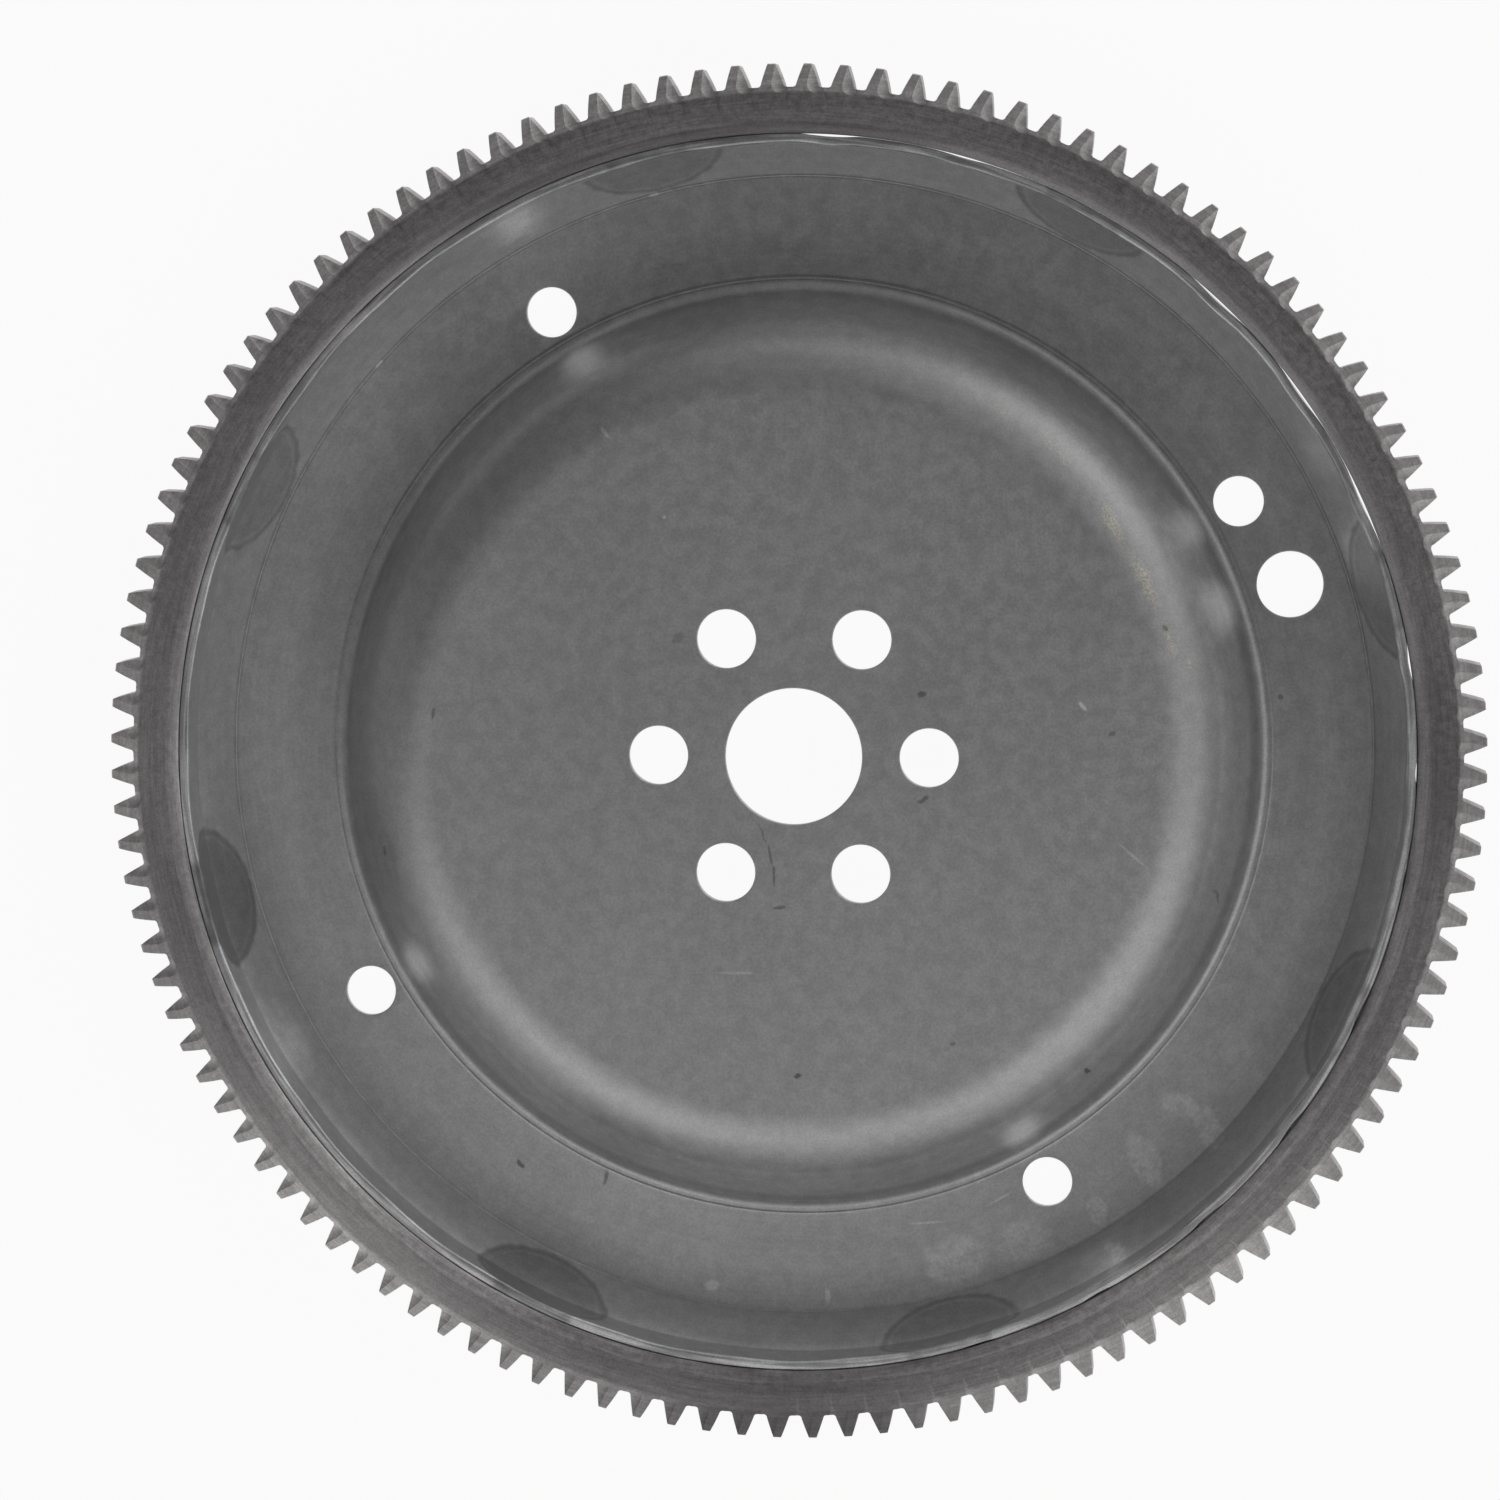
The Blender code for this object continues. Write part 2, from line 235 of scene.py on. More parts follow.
def bend_points(before, corner, after, bend, steps):
    """Points of the arc that rounds a corner of the section, with a holding point on each side."""
    heading_in = math.atan2(corner[1] - before[1], corner[0] - before[0])
    heading_out = math.atan2(after[1] - corner[1], after[0] - corner[0])
    turn = heading_out - heading_in
    side = math.copysign(1.0, turn)
    reach = bend * math.tan(abs(turn) / 2)
    start = (corner[0] - reach * math.cos(heading_in), corner[1] - reach * math.sin(heading_in))
    centre = (start[0] - side * bend * math.sin(heading_in), start[1] + side * bend * math.cos(heading_in))
    points = [(start[0] - HOLDING_STEP * math.cos(heading_in),
               start[1] - HOLDING_STEP * math.sin(heading_in))]
    for step in range(steps + 1):
        heading = heading_in + turn * step / steps
        points.append((centre[0] + side * bend * math.sin(heading),
                       centre[1] - side * bend * math.cos(heading)))
    last = points[-1]
    points.append((last[0] + HOLDING_STEP * math.cos(heading_out),
                   last[1] + HOLDING_STEP * math.sin(heading_out)))
    return points


def front_line():
    """The disc's front from its middle to the lip."""
    wall = math.radians(WALL_ANGLE)
    wall_top = HUB_FLAT_RADIUS + SHOULDER_BEND * math.tan(wall / 2)
    wall_foot = wall_top + (HUB_FRONT - ANNULUS_FRONT) / math.tan(wall)
    band_rise = (COLLAR_RADIUS - BAND_FOOT_RADIUS) * math.tan(math.radians(BAND_ANGLE))
    corners = [
        (BLANK_RADIUS, HUB_FRONT, 0.0, 0),
        (wall_top, HUB_FRONT, SHOULDER_BEND, 14),
        (wall_foot, ANNULUS_FRONT, WALL_FOOT_BEND, 9),
        (BAND_FOOT_RADIUS, ANNULUS_FRONT, BAND_FOOT_BEND, 3),
        (COLLAR_RADIUS, ANNULUS_FRONT + band_rise, COLLAR_BEND, 4),
        (COLLAR_RADIUS, LIP_TOP, 0.0, 0),
    ]
    line = [corners[0][:2]]
    for before, corner, after in zip(corners, corners[1:], corners[2:]):
        line += bend_points(before[:2], corner[:2], after[:2], corner[2], corner[3])
    line.append(corners[-1][:2])
    crest = next(index for index, (radius, _) in enumerate(line) if radius > CREST_RADIUS)
    line[crest:crest] = [(CREST_RADIUS + CREST_WIDTH * step / CREST_STEPS, ANNULUS_FRONT)
                         for step in range(CREST_STEPS + 1)]
    return line


def fine_runs(line):
    """The line with its straight runs outside the annulus divided, so that waves and marks have points."""
    fine = [line[0]]
    for start, end in zip(line, line[1:]):
        parts = 1
        if end[0] > BAND_FOOT_RADIUS and end[1] > ANNULUS_FRONT:
            parts = max(1, round(math.dist(start, end) / RUN_STEP))
        for part in range(1, parts + 1):
            share = part / parts
            fine.append((start[0] + share * (end[0] - start[0]), start[1] + share * (end[1] - start[1])))
    return fine


def hole_cutter(radius, place):
    """A cylinder that flares at both faces of the sheet, which breaks the hole's edges."""
    x, y, front = place
    over = SHEET / 2
    deselect_all()
    bpy.ops.mesh.primitive_cylinder_add(vertices=HOLE_STEPS, radius=radius, depth=SHEET - 2 * HOLE_BREAK,
                                        location=(x, y, front - SHEET / 2))
    cutter = bpy.context.object
    bpy.ops.object.transform_apply(location=True)
    growth = (radius + HOLE_BREAK + over) / radius
    bpy.ops.object.mode_set(mode="EDIT")
    for side in (1, -1):
        select_where("FACE", lambda face: face.normal.z * side > 0.9)
        bpy.ops.mesh.extrude_region_move(
            TRANSFORM_OT_translate={"value": (0, 0, side * (HOLE_BREAK + over))})
        bpy.ops.transform.resize(value=(growth, growth, 1), center_override=(x, y, 0))
    stop_editing()
    return cutter


def all_hole_cutters():
    cutters = []
    for holes, front in ((HUB_BORE, HUB_FRONT), (CRANK_HOLES, HUB_FRONT),
                         (CONVERTER_HOLES, ANNULUS_FRONT), (LARGE_HOLE, ANNULUS_FRONT)):
        radius, circle, start, count = holes
        for index in range(count):
            angle = math.radians(start + index * 360 / count)
            place = (circle * math.cos(angle), circle * math.sin(angle), front)
            cutters.append(hole_cutter(radius, place))
    deselect_all()
    for cutter in cutters:
        cutter.select_set(True)
    bpy.context.view_layer.objects.active = cutters[0]
    bpy.ops.object.join()
    return cutters[0]


def round_lip(sheet, radius, offset):
    """Rounds the lip's edge that lies at this radius."""
    def is_lip_edge(edge):
        return all(vertex.co.z > LIP_TOP - HOLDING_STEP and abs(vertex.co.xy.length - radius) < SHEET / 4
                   for vertex in edge.verts)
    start_editing(sheet)
    select_where("EDGE", is_lip_edge)
    bpy.ops.mesh.bevel(offset=offset, segments=4, affect="EDGES")
    stop_editing()


def raise_crest(sheet):
    """The low crest that the die leaves round the wall's foot, on the front only."""
    for vertex in sheet.data.vertices:
        share = (vertex.co.xy.length - CREST_RADIUS) / CREST_WIDTH
        if 0 < share < 1 and vertex.co.z > ANNULUS_FRONT - CREST_HEIGHT:
            vertex.co.z += CREST_HEIGHT * (1 - math.cos(math.tau * share)) / 2


def turn_between(angle, other):
    """The signed difference of two angles, at most half a turn."""
    return (angle - other + 180) % 360 - 180


def swell(angle, centre, half_width):
    """A smooth hump of height 1 over a stretch of the rim."""
    off = abs(turn_between(angle, centre)) / half_width
    return (1 + math.cos(math.pi * off)) / 2 if off < 1 else 0.0


def common_wave(angle):
    """Depth of the flutes that run round the whole collar, deepest on one side of the plate."""
    pitch = 360 / WAVES
    nearest = pitch * round(angle / pitch)
    away = (1 - math.cos(math.radians(nearest - DEEPEST_WAVE))) / 2
    return WAVE_DEPTH * (1 - WAVE_VARIATION * away) * swell(angle, nearest, pitch / 2)


def wave_collar(sheet):
    """Presses the flutes into the collar. The rear follows less, except where the lip stands open."""
    foot = ANNULUS_FRONT + (COLLAR_RADIUS - BAND_FOOT_RADIUS) * math.tan(math.radians(BAND_ANGLE))
    full = foot + WAVE_RUN_IN
    start = foot - WAVE_RUN_IN
    for vertex in sheet.data.vertices:
        radius = vertex.co.xy.length
        if vertex.co.z < start or radius < BAND_FOOT_RADIUS:
            continue
        angle = math.degrees(math.atan2(vertex.co.y, vertex.co.x))
        through = min(max((radius - COLLAR_RADIUS) / SHEET, 0.0), 1.0)
        depth = common_wave(angle) * (1 - (1 - REAR_SHARE) * through)
        gap = max(height * swell(angle, centre, half_width) for centre, half_width, height in OPEN_WAVES)
        share = min((vertex.co.z - start) / (full - start), 1.0)
        factor = 1 - share * max(depth, gap) / radius
        vertex.co.x *= factor
        vertex.co.y *= factor


def note_heat_marks(sheet):
    """Writes how far outside the nearest heat mark each point lies, in millimetres, less than 0 inside."""
    values = []
    for vertex in sheet.data.vertices:
        angle = math.degrees(math.atan2(vertex.co.y, vertex.co.x))
        rise = (vertex.co.z - HEAT_MARK_HEIGHT) / HEAT_MARK_RISE
        nearest = min(
            math.hypot(turn_between(angle, centre) / half_width, rise) for centre, half_width in HEAT_MARKS)
        if vertex.co.xy.length < HEAT_MARK_INNER_RADIUS:
            nearest = FAR_FROM_HEAT
        values.append((nearest - 1) * HEAT_MARK_RISE / MM)
    attribute = sheet.data.attributes.new("heat_edge", "FLOAT", "POINT")
    attribute.data.foreach_set("value", values)


def make_disc(material):
    sheet = pull_rings(fine_runs(front_line()))
    bpy.ops.mesh.select_all(action="SELECT")
    bpy.ops.mesh.normals_make_consistent(inside=False)
    stop_editing()
    thickness = sheet.modifiers.new("thickness", "SOLIDIFY")
    thickness.thickness = SHEET
    thickness.use_even_offset = True
    thickness.offset = -1 if sheet.data.polygons[0].normal.z > 0 else 1
    apply_modifier(sheet, thickness)
    round_lip(sheet, COLLAR_RADIUS, LIP_ROUND)
    round_lip(sheet, COLLAR_RADIUS + SHEET, LIP_BREAK)
    cut(sheet, all_hole_cutters())
    raise_crest(sheet)
    wave_collar(sheet)
    note_heat_marks(sheet)
    finish_piece(sheet, "drawn_disc", "drive_disc", material, SMOOTH_DISC_BELOW)
    return sheet


# The ring gear: a turned blank, its tooth gaps, then a lead-in groove on each tooth

def make_ring_blank():
    slope = math.tan(math.radians(FACE_SLOPE))
    tip_front = RING_FRONT - (TIP_RADIUS - TIP_BREAK - FACE_EDGE_RADIUS) * slope
    line = [
        (RING_BORE_RADIUS, RING_BACK + TIP_BREAK),
        (RING_BORE_RADIUS, RING_FRONT - BORE_DISH_DEPTH - BORE_EDGE_DEPTH),
        (RING_BORE_RADIUS + BORE_EDGE_WIDTH, RING_FRONT - BORE_DISH_DEPTH),
        (RING_BORE_RADIUS + BORE_DISH_WIDTH, RING_FRONT),
        (FACE_EDGE_RADIUS, RING_FRONT),
        (TIP_RADIUS - TIP_BREAK, tip_front),
        (TIP_RADIUS, tip_front - TIP_BREAK),
        (TIP_RADIUS, RING_BACK + TIP_BREAK),
        (TIP_RADIUS - TIP_BREAK, RING_BACK),
        (RING_BORE_RADIUS + TIP_BREAK, RING_BACK),
        (RING_BORE_RADIUS, RING_BACK + TIP_BREAK),
    ]
    blank = pull_rings(line)
    bpy.ops.mesh.select_all(action="SELECT")
    bpy.ops.mesh.remove_doubles(threshold=TIP_BREAK / 10)
    bpy.ops.mesh.normals_make_consistent(inside=False)
    stop_editing()
    return blank


def involute(angle):
    return math.tan(angle) - angle


def half_tooth(radius):
    """Half the angle that a tooth takes up at this radius, in degrees."""
    at_pitch = (math.pi * MODULE / 2 - TOOTH_THINNING) / (2 * PITCH_RADIUS)
    slope = math.acos(BASE_RADIUS / radius)
    return math.degrees(at_pitch + involute(math.radians(PRESSURE_ANGLE)) - involute(slope))


def gap_side():
    """Angle from the middle of a tooth gap and radius of the points up one side of it."""
    foot_radius = ROOT_RADIUS + ROOT_FILLET
    half_pitch = 180 / TEETH
    foot = half_pitch - half_tooth(foot_radius)
    fillet = math.degrees(ROOT_FILLET / ROOT_RADIUS)
    side = []
    for step in range(4):
        turn = math.radians(90 * step / 4)
        side.append((foot - fillet * (1 - math.sin(turn)), ROOT_RADIUS + ROOT_FILLET * (1 - math.cos(turn))))
    for step in range(6):
        radius = foot_radius + (TIP_RADIUS - foot_radius) * step / 5
        side.append((half_pitch - half_tooth(radius), radius))
    last_angle, last_radius = side[-1]
    side.append((last_angle + (last_angle - side[-2][0]), last_radius + (last_radius - side[-2][1])))
    return side


def repeat_round_ring(piece):
    """Copies the piece round the axis, once for each tooth."""
    start_editing(piece)
    bpy.ops.mesh.select_all(action="SELECT")
    pitch = math.tau / TEETH
    bpy.ops.mesh.spin(steps=TEETH - 1, dupli=True, angle=math.tau - pitch, center=(0, 0, 0), axis=(0, 0, 1))
    stop_editing()


def make_gap_cutter():
    side = gap_side()
    outline = [(-angle, radius) for angle, radius in reversed(side)] + side
    centre = TOOTH_PHASE + 180 / TEETH
    points = []
    for angle, radius in outline:
        turn = math.radians(centre + angle)
        points.append((radius * math.cos(turn), radius * math.sin(turn), RING_BACK - GAP_CUTTER_OVER))
    mesh = bpy.data.meshes.new("gap_cutter")
    mesh.from_pydata(points, [], [list(range(len(points)))])
    cutter = bpy.data.objects.new("gap_cutter", mesh)
    bpy.context.collection.objects.link(cutter)
    start_editing(cutter)
    bpy.ops.mesh.select_all(action="SELECT")
    bpy.ops.mesh.extrude_region_move(
        TRANSFORM_OT_translate={"value": (0, 0, RING_FRONT - RING_BACK + 2 * GAP_CUTTER_OVER)})
    bpy.ops.mesh.select_all(action="SELECT")
    bpy.ops.mesh.normals_make_consistent(inside=False)
    stop_editing()
    repeat_round_ring(cutter)
    return cutter


def make_groove_cutter():
    """A ball-nosed cutter that lies along the ridge of the first tooth, leaning away from its flank."""
    deselect_all()
    bpy.ops.mesh.primitive_uv_sphere_add(segments=CUTTER_STEPS, ring_count=CUTTER_STEPS // 2,
                                         radius=CUTTER_RADIUS)
    cutter = bpy.context.object
    bpy.ops.object.mode_set(mode="EDIT")
    select_where("FACE", lambda face: face.calc_center_median().z > 0)
    bpy.ops.mesh.extrude_region_move(TRANSFORM_OT_translate={"value": (0, 0, CUTTER_LENGTH)})
    stop_editing()
    half_chord = math.sqrt(CUTTER_RADIUS ** 2 - (CUTTER_RADIUS - CUTTER_DEPTH) ** 2)
    nose = FACE_EDGE_RADIUS + half_chord - CUTTER_RUN_OUT
    across = math.radians(RIDGE_FOOT) * ROOT_RADIUS - half_chord
    slope = math.radians(FACE_SLOPE)
    place = Matrix.Translation((nose, across, RING_FRONT + CUTTER_RADIUS - CUTTER_DEPTH))
    lie_down = Matrix.Rotation(math.radians(90) + slope, 4, "Y")
    lean = Matrix.Rotation(math.radians(-CUTTER_LEAN), 4, "Z")
    turn = Matrix.Rotation(math.radians(TOOTH_PHASE), 4, "Z")
    cutter.data.transform(turn @ place @ lean @ lie_down)
    repeat_round_ring(cutter)
    return cutter


def make_ring(material):
    ring = make_ring_blank()
    cut(ring, make_gap_cutter())
    cut(ring, make_groove_cutter())
    finish_piece(ring, "toothed_ring", "ring_gear", material, SMOOTH_RING_BELOW)
    return ring


# The weld beads

def make_bead(angle, number, material):
    """A rippled bead in the corner behind the ring, swept round the axis and tapered at its ends."""
    sweep = BEAD_LENGTH / RING_BORE_RADIUS
    start = math.radians(angle) - sweep / 2
    deselect_all()
    bpy.ops.mesh.primitive_circle_add(vertices=BEAD_SIDES, radius=1.0, fill_type="NGON")
    bead = bpy.context.object
    for vertex in bead.data.vertices:
        out, down = (BEAD_LEG / 2 * across for across in vertex.co.xy)
        vertex.co = (BEAD_CENTRE[0] + out, 0.0, BEAD_CENTRE[1] - down)
    bead.data.transform(Matrix.Rotation(start, 4, "Z"))
    start_editing(bead)
    bpy.ops.mesh.select_all(action="SELECT")
    bpy.ops.mesh.spin(steps=BEAD_STATIONS, angle=sweep, center=(0, 0, 0), axis=(0, 0, 1))
    bpy.ops.mesh.select_all(action="SELECT")
    bpy.ops.mesh.normals_make_consistent(inside=False)
    stop_editing()
    ripple_bead(bead, start, sweep)
    finish_piece(bead, f"weld_run_{number}", f"weld_bead_{number}", material, SMOOTH_BEAD_BELOW)


def ripple_bead(bead, start, sweep):
    """Tapers the bead's ends and presses the ripples into it."""
    for vertex in bead.data.vertices:
        radius = vertex.co.xy.length
        turn = math.atan2(vertex.co.y, vertex.co.x)
        share = ((turn - start + math.pi) % math.tau - math.pi) / sweep
        out = radius - BEAD_CENTRE[0]
        up = vertex.co.z - BEAD_CENTRE[1]
        end = min(share, 1 - share) / BEAD_END_SHARE
        taper = math.sqrt(max(0.0, 1 - (1 - min(end, 1.0)) ** 2))
        arc = (share * BEAD_RIPPLES + RIPPLE_BOW * (out / BEAD_LEG) ** 2) % 1.0
        ripple = 1 - RIPPLE_DEPTH + RIPPLE_DEPTH * math.sqrt(math.sin(math.pi * arc))
        size = (BEAD_END_SIZE + (1 - BEAD_END_SIZE) * taper) * ripple
        radius = BEAD_CENTRE[0] + out * size
        vertex.co = (radius * math.cos(turn), radius * math.sin(turn), BEAD_CENTRE[1] + up * size)


def make_beads(material):
    number = 1
    for index in range(CONVERTER_HOLES[3]):
        hole = CONVERTER_HOLES[2] + index * 360 / CONVERTER_HOLES[3]
        for offset in BEAD_ANGLES:
            make_bead(hole + offset, number, material)
            number += 1


# Materials

def put(tree, socket, value):
    if isinstance(value, bpy.types.NodeSocket):
        tree.links.new(value, socket)
    else:
        socket.default_value = value


def calc(tree, operation, *values):
    node = tree.nodes.new("ShaderNodeMath")
    node.operation = operation
    for socket, value in zip(node.inputs, values):
        put(tree, socket, value)
    return node.outputs[0]


def spread(tree, value, low, high, to_low, to_high):
    """The value taken from one range to another and held at its ends."""
    node = tree.nodes.new("ShaderNodeMapRange")
    node.interpolation_type = "SMOOTHSTEP"
    for name, number in (("Value", value), ("From Min", low), ("From Max", high),
                         ("To Min", to_low), ("To Max", to_high)):
        put(tree, node.inputs[name], number)
    return node.outputs["Result"]


def speckle(tree, place, size, detail=2.0, roughness=0.5):
    """Noise whose blotches are about this size in metres."""
    node = tree.nodes.new("ShaderNodeTexNoise")
    put(tree, node.inputs["Vector"], place)
    node.inputs["Scale"].default_value = 1 / size
    node.inputs["Detail"].default_value = detail
    node.inputs["Roughness"].default_value = roughness
    return node.outputs["Fac"]


def warped(tree, place, size, amount):
    """Coordinates pushed about by noise, which makes the edges of marks uneven."""
    noise = tree.nodes.new("ShaderNodeTexNoise")
    put(tree, noise.inputs["Vector"], place)
    noise.inputs["Scale"].default_value = 1 / size
    noise.inputs["Detail"].default_value = 1.0
    push = tree.nodes.new("ShaderNodeVectorMath")
    push.operation = "MULTIPLY_ADD"
    put(tree, push.inputs[0], noise.outputs["Color"])
    push.inputs[1].default_value = (amount, amount, amount)
    put(tree, push.inputs[2], place)
    back = tree.nodes.new("ShaderNodeVectorMath")
    back.operation = "SUBTRACT"
    put(tree, back.inputs[0], push.outputs["Vector"])
    back.inputs[1].default_value = (amount / 2, amount / 2, amount / 2)
    return back.outputs["Vector"]


def dot(tree, place, direction):
    node = tree.nodes.new("ShaderNodeVectorMath")
    node.operation = "DOT_PRODUCT"
    put(tree, node.inputs[0], place)
    node.inputs[1].default_value = direction
    return node.outputs["Value"]


def spot(tree, place, x, y, heading, half_length, half_width):
    """Distance from the middle of an ellipse on the plate, 1 at its edge. Its sizes are in millimetres."""
    turn = math.radians(heading)
    along = Vector((math.cos(turn), math.sin(turn), 0)) / (half_length * MM)
    across = Vector((-math.sin(turn), math.cos(turn), 0)) / (half_width * MM)
    middle = Vector((x * MM, y * MM, 0))
    away = tree.nodes.new("ShaderNodeVectorMath")
    away.operation = "DISTANCE"
    put(tree, away.inputs[0], combine(tree, dot(tree, place, along), dot(tree, place, across)))
    away.inputs[1].default_value = (middle.dot(along), middle.dot(across), 0)
    return away.outputs["Value"]


def all_spots(tree, place, marks, soft):
    """The strongest of several marks. Each rises to its strength over this outer share of its ellipse."""
    masks = [spread(tree, spot(tree, place, *ellipse), 1 - soft, 1.0, strength, 0.0)
             for *ellipse, strength in marks]
    strongest = masks[0]
    for mask in masks[1:]:
        strongest = calc(tree, "MAXIMUM", mask, strongest)
    return strongest


def factor_of(tree, mask, change):
    """1 where the mask is 0, and 1 + change where it is 1."""
    return calc(tree, "MULTIPLY_ADD", mask, change, 1.0)


def times(tree, *factors):
    product = factors[0]
    for factor in factors[1:]:
        product = calc(tree, "MULTIPLY", product, factor)
    return product


def combine(tree, *values):
    node = tree.nodes.new("ShaderNodeCombineXYZ")
    for socket, value in zip(node.inputs, values):
        put(tree, socket, value)
    return node.outputs["Vector"]


def grey_times(tree, colour, factor):
    """A colour made lighter or darker by a factor."""
    node = tree.nodes.new("ShaderNodeVectorMath")
    node.operation = "SCALE"
    put(tree, node.inputs["Vector"], colour)
    put(tree, node.inputs["Scale"], factor)
    return node.outputs["Vector"]


def tinted(tree, mask, colour, other):
    """The first colour where the mask is 0, and the other where it is 1."""
    node = tree.nodes.new("ShaderNodeMix")
    node.data_type = "RGBA"
    put(tree, node.inputs["Factor"], mask)
    put(tree, node.inputs[6], (*colour, 1.0))
    put(tree, node.inputs[7], (*other, 1.0))
    return node.outputs[2]


def bump(tree, height, distance, strength=1.0, under=None):
    node = tree.nodes.new("ShaderNodeBump")
    node.inputs["Distance"].default_value = distance
    node.inputs["Strength"].default_value = strength
    put(tree, node.inputs["Height"], height)
    if under is not None:
        put(tree, node.inputs["Normal"], under)
    return node.outputs["Normal"]


class Steel:
    """A steel material with the coordinates that its patterns use."""

    def __init__(self, name, metallic):
        self.material = bpy.data.materials.new(name)
        self.material.use_nodes = True
        tree = self.tree = self.material.node_tree
        self.shader = tree.nodes["Principled BSDF"]
        self.shader.inputs["Metallic"].default_value = metallic
        self.place = tree.nodes.new("ShaderNodeTexCoord").outputs["Object"]
        split = tree.nodes.new("ShaderNodeSeparateXYZ")
        put(tree, split.inputs[0], self.place)
        self.x, self.y, self.height = split.outputs
        square = calc(tree, "MULTIPLY_ADD", self.x, self.x, calc(tree, "MULTIPLY", self.y, self.y))
        self.radius = calc(tree, "SQRT", square)

    def along_rim(self, across, along):
        """Coordinates in which patterns run round the axis, squeezed across it and drawn out along it."""
        tree = self.tree
        reach = PITCH_RADIUS / along
        return combine(tree, times(tree, self.radius, across),
                       times(tree, calc(tree, "DIVIDE", self.x, self.radius), reach),
                       times(tree, calc(tree, "DIVIDE", self.y, self.radius), reach))

    def finish(self, colour, level, roughness, relief):
        put(self.tree, self.shader.inputs["Base Color"], grey_times(self.tree, colour, level))
        put(self.tree, self.shader.inputs["Roughness"], roughness)
        put(self.tree, self.shader.inputs["Normal"], relief)
        return self.material


DISC_COLOUR = (0.5, 0.5, 0.505)
SCRATCH_HIGHLIGHT_COLOUR = (0.55, 0.515, 0.43)
RING_COLOUR = (0.31, 0.297, 0.297)
BEAD_COLOUR = (0.26, 0.25, 0.24)

# Marks on the disc: x, y, heading, half length and half width in millimetres and degrees, and strength
DARK_MARKS = (
    (28.4, 14.0, 0, 1.0, 0.8, 0.8), (28.8, -9.3, 31, 1.7, 0.6, 0.8), (-25.8, 26.1, 20, 2.0, 1.5, 0.35),
    (-7.0, -17.2, -66, 3.4, 0.35, 0.5), (-5.2, -22.0, -74, 2.8, 0.4, 0.7), (-4.2, -26.8, -82, 3.2, 0.4, 0.8),
    (-3.0, -33.7, 3, 1.6, 0.55, 0.8), (81.8, 29.1, -40, 1.3, 0.6, 0.8), (1.2, -71.4, 40, 1.0, 0.7, 1.0),
    (65.1, -70.5, 0, 0.8, 0.7, 1.0), (35.5, -63.5, 10, 0.9, 0.6, 0.6), (-80.4, 8.7, 80, 1.8, 0.5, 0.7),
    (-63.4, -95.4, -60, 1.4, 0.8, 1.0), (-44.0, -98.4, 78, 2.4, 0.7, 0.8), (70.5, 5.8, 30, 1.0, 0.5, 0.6),
    (107.5, 12.5, 60, 0.9, 0.7, 0.7), (-92.5, -23.0, 105, 1.6, 0.5, 0.6), (93.8, -31.5, -75, 2.2, 0.5, 0.6),
)
LIGHT_MARKS = (
    (63.9, 11.8, -49, 1.7, 0.6, 1.0), (-12.9, -48.5, 0, 5.5, 0.4, 0.35), (75.2, -21.2, -40, 5.5, 0.4, 0.4),
    (-42.2, 71.6, 125, 2.0, 0.6, 0.5), (-28.9, 52.9, 0, 0.6, 0.5, 0.7), (-19.7, -122.7, 15, 2.2, 1.7, 0.5),
    (6.7, -124.8, 95, 2.2, 0.8, 0.5), (-33.2, 124.0, 15, 1.6, 0.5, 0.8), (-95.4, 85.9, 48, 1.5, 0.5, 0.9),
    (29.5, -107.5, 5, 5.0, 0.35, 0.4), (45.5, -101.8, 30, 4.0, 0.35, 0.35), (60.5, -100.5, 35, 2.5, 0.4, 0.4),
)
SMUDGES = (
    (35.5, -115.5, 22, 9.0, 6.5, 1.0), (50.0, -111.5, 8, 9.0, 5.5, 0.75), (86.0, -79.7, -20, 6.5, 3.0, 0.8),
    (92.5, -84.5, -72, 6.5, 3.2, 0.9), (78.3, -92.4, -64, 8.0, 3.6, 1.0), (67.4, -103.7, -56, 4.4, 2.2, 0.9),
    (72.2, -112.4, -30, 3.4, 2.8, 1.0), (100.0, -70.0, -55, 7.0, 5.0, 0.4),
    (-33.0, -109.0, -22, 24.0, 14.0, 0.22),
)

# Scratches on the shoulder, painted lighter and yellowish as the highlight that runs along them, as above
SCRATCH_HIGHLIGHTS = (
    (69.9, 52.3, -64, 7.0, 2.2, 1.0), (77.3, 39.7, -64, 9.0, 2.2, 1.0), (82.9, 26.5, -70, 5.5, 1.4, 0.9),
    (87.2, 21.2, -70, 2.2, 0.5, 1.0), (45.0, 76.8, -30, 8.0, 1.4, 0.3), (58.0, 67.5, -42, 7.0, 1.4, 0.4),
)
# The heat marks near this place are darker than the others: its ellipse, as above
DEEP_HEAT = (-110.0, -80.0, 0, 95.0, 95.0)
# Soft spots on the outer band painted lighter as reflections of the lights, as above
BAND_PAINTED_REFLECTIONS = ((-62.6, 117.8, 28, 9.0, 5.0, 1.0), (-114.0, -69.0, -59, 8.0, 4.0, 0.4),
              (71.5, -114.0, 32, 4.0, 4.5, 0.5))
# Over this stretch of the radius the grain that runs with the rim sets in
DRAWN_FROM = (90 * MM, 100 * MM)
# Inner and outer radius of the rings painted lighter or darker as light and shade
SHOULDER_LINE = (88 * MM, 91 * MM)
WALL_LIGHT_RING = (95 * MM, 100.2 * MM)
FILLET_LINE = (102.8 * MM, 104.4 * MM)
CREST_LINE = (105.3 * MM, 106.2 * MM)
NEAR_WALL = (106.8 * MM, 112 * MM)


def between(tree, value, low, high, edge):
    """1 where the value lies between two limits, with soft edges of this width outside them."""
    return times(tree, spread(tree, value, low - edge, low, 0.0, 1.0),
                 spread(tree, value, high, high + edge, 1.0, 0.0))


